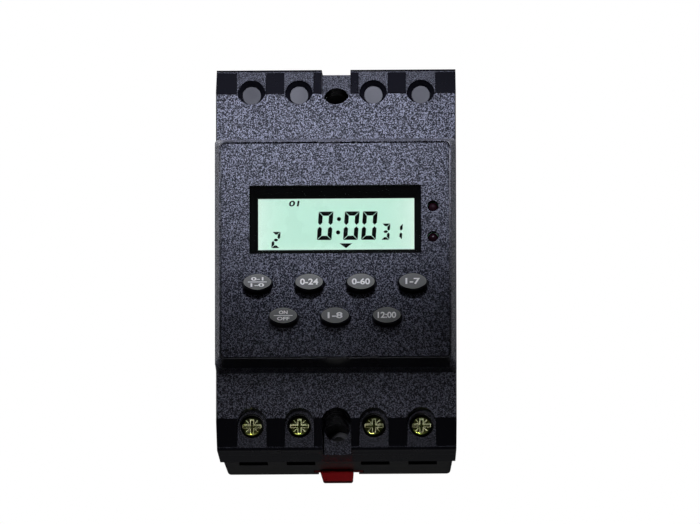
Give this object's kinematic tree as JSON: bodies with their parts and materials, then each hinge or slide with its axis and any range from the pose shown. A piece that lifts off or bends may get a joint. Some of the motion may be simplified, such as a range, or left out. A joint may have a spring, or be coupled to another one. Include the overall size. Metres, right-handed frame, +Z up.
{
  "type": "programmable timer switch",
  "caption": "Black time switch for rail or wall mounting, with a display, push keys, clamp terminals and a sliding rail clip.",
  "frame": {"origin": "midway between the two wall screw holes, on the plane of the wall", "axes": "+Z up along the case, -Y out of the display, +X to the right as seen from the front; the wall is on the +Y side"},
  "size_m": [0.0742, 0.0587, 0.1232],
  "materials": {
    "base_plastic": "fine grained black plastic",
    "shell_plastic": "coarse spark-eroded black plastic, smooth in the bevels",
    "cover_plastic": "coarse spark-eroded black plastic",
    "panel_plastic": "coarse spark-eroded black plastic",
    "window_clear": "clear polished acrylic",
    "holder_plastic": "matt black plastic",
    "display_face": "pale green display with dark segments",
    "reflector_white": "white reflector",
    "contact_rubber": "striped silicone rubber",
    "board_laminate": "green solder mask",
    "switch_plastic": "black moulded switch body",
    "plunger_plastic": "black moulded plunger",
    "key_plastic": "grey key top, dark sides",
    "lamp_red": "dark red clear-tinted lamp, unlit",
    "chip_plastic": "black moulding compound",
    "can_steel": "plated steel",
    "relay_plastic": "blue relay case",
    "film_plastic": "yellow flame-retardant case",
    "capacitor_can": "sleeved aluminium can",
    "varistor_coat": "blue epoxy coat",
    "resistor_coat": "grey-green cement coat",
    "clip_plastic": "dark red moulded plastic",
    "screw_steel": "zinc-plated steel",
    "screw_yellow_zinc": "yellow passivated zinc",
    "cage_steel": "zinc-plated steel",
    "strap_copper": "copper alloy bar"
  },
  "bodies": {
    "case": {"base_housing": "base_plastic", "upper_housing": "shell_plastic", "front_cover": "cover_plastic", "front_panel": "panel_plastic", "display_window": "window_clear", "display_holder": "holder_plastic", "display_glass": "display_face", "display_reflector": "reflector_white", "contact_strips": "contact_rubber", "display_board": "board_laminate", "key_switches": "switch_plastic", "indicator_lamps": "lamp_red", "processor_chip": "chip_plastic", "clock_crystal": "can_steel", "backup_battery": "can_steel", "board_link": "chip_plastic", "power_board": "board_laminate", "relay": "relay_plastic", "film_capacitor": "film_plastic", "filter_capacitor": "capacitor_can", "varistor": "varistor_coat", "dropper_resistor": "resistor_coat", "bridge_rectifier": "chip_plastic", "case_screws": "screw_steel", "panel_screws": "screw_steel", "power_board_screws": "screw_steel", "terminal_strap_1": "strap_copper", "terminal_strap_2": "strap_copper", "terminal_strap_3": "strap_copper", "terminal_strap_4": "strap_copper"},
    "recall_button": {"recall_key": "key_plastic", "recall_plunger": "plunger_plastic"},
    "hour_button": {"hour_key": "key_plastic", "hour_plunger": "plunger_plastic"},
    "minute_button": {"minute_key": "key_plastic", "minute_plunger": "plunger_plastic"},
    "week_button": {"week_key": "key_plastic", "week_plunger": "plunger_plastic"},
    "mode_button": {"mode_key": "key_plastic", "mode_plunger": "plunger_plastic"},
    "timer_button": {"timer_key": "key_plastic", "timer_plunger": "plunger_plastic"},
    "clock_button": {"clock_key": "key_plastic", "clock_plunger": "plunger_plastic"},
    "screw_1": {"terminal_screw_1": "screw_yellow_zinc"},
    "cage_1": {"terminal_cage_1": "cage_steel"},
    "screw_2": {"terminal_screw_2": "screw_yellow_zinc"},
    "cage_2": {"terminal_cage_2": "cage_steel"},
    "screw_3": {"terminal_screw_3": "screw_yellow_zinc"},
    "cage_3": {"terminal_cage_3": "cage_steel"},
    "screw_4": {"terminal_screw_4": "screw_yellow_zinc"},
    "cage_4": {"terminal_cage_4": "cage_steel"},
    "clip": {"din_clip": "clip_plastic"}
  },
  "joints": [
    {"name": "recall_press", "type": "slide", "parent": "case", "child": "recall_button", "axis": [0, 1, 0], "range_m": [0, 0.0005], "stiffness_N_per_m": 2000, "springref_m": -0.0002},
    {"name": "hour_press", "type": "slide", "parent": "case", "child": "hour_button", "axis": [0, 1, 0], "range_m": [0, 0.0005], "stiffness_N_per_m": 2000, "springref_m": -0.0002},
    {"name": "minute_press", "type": "slide", "parent": "case", "child": "minute_button", "axis": [0, 1, 0], "range_m": [0, 0.0005], "stiffness_N_per_m": 2000, "springref_m": -0.0002},
    {"name": "week_press", "type": "slide", "parent": "case", "child": "week_button", "axis": [0, 1, 0], "range_m": [0, 0.0005], "stiffness_N_per_m": 2000, "springref_m": -0.0002},
    {"name": "mode_press", "type": "slide", "parent": "case", "child": "mode_button", "axis": [0, 1, 0], "range_m": [0, 0.0005], "stiffness_N_per_m": 2000, "springref_m": -0.0002},
    {"name": "timer_press", "type": "slide", "parent": "case", "child": "timer_button", "axis": [0, 1, 0], "range_m": [0, 0.0005], "stiffness_N_per_m": 2000, "springref_m": -0.0002},
    {"name": "clock_press", "type": "slide", "parent": "case", "child": "clock_button", "axis": [0, 1, 0], "range_m": [0, 0.0005], "stiffness_N_per_m": 2000, "springref_m": -0.0002},
    {"name": "screw_1_turn", "type": "hinge", "parent": "case", "child": "screw_1", "pos_m": [-0.02605, -0.034, -0.0524], "axis": [0, 1, 0], "range_deg": [0, 2571.9]},
    {"name": "cage_1_rise", "type": "slide", "parent": "case", "child": "cage_1", "axis": [0, -1, 0], "range_m": [0, 0.005]},
    {"name": "screw_2_turn", "type": "hinge", "parent": "case", "child": "screw_2", "pos_m": [-0.01145, -0.034, -0.0524], "axis": [0, 1, 0], "range_deg": [0, 2571.9]},
    {"name": "cage_2_rise", "type": "slide", "parent": "case", "child": "cage_2", "axis": [0, -1, 0], "range_m": [0, 0.005]},
    {"name": "screw_3_turn", "type": "hinge", "parent": "case", "child": "screw_3", "pos_m": [0.01145, -0.034, -0.0524], "axis": [0, 1, 0], "range_deg": [0, 2571.9]},
    {"name": "cage_3_rise", "type": "slide", "parent": "case", "child": "cage_3", "axis": [0, -1, 0], "range_m": [0, 0.005]},
    {"name": "screw_4_turn", "type": "hinge", "parent": "case", "child": "screw_4", "pos_m": [0.02605, -0.034, -0.0524], "axis": [0, 1, 0], "range_deg": [0, 2571.9]},
    {"name": "cage_4_rise", "type": "slide", "parent": "case", "child": "cage_4", "axis": [0, -1, 0], "range_m": [0, 0.005]},
    {"name": "clip_pull", "type": "slide", "parent": "case", "child": "clip", "axis": [0, 0, -1], "range_m": [0, 0.004], "stiffness_N_per_m": 1000, "springref_m": -0.003}
  ],
  "couplings": [
    {"joint": "screw_1_turn", "follows": "cage_1_rise", "rad_per_m": 8976},
    {"joint": "screw_2_turn", "follows": "cage_2_rise", "rad_per_m": 8976},
    {"joint": "screw_3_turn", "follows": "cage_3_rise", "rad_per_m": 8976},
    {"joint": "screw_4_turn", "follows": "cage_4_rise", "rad_per_m": 8976}
  ]
}
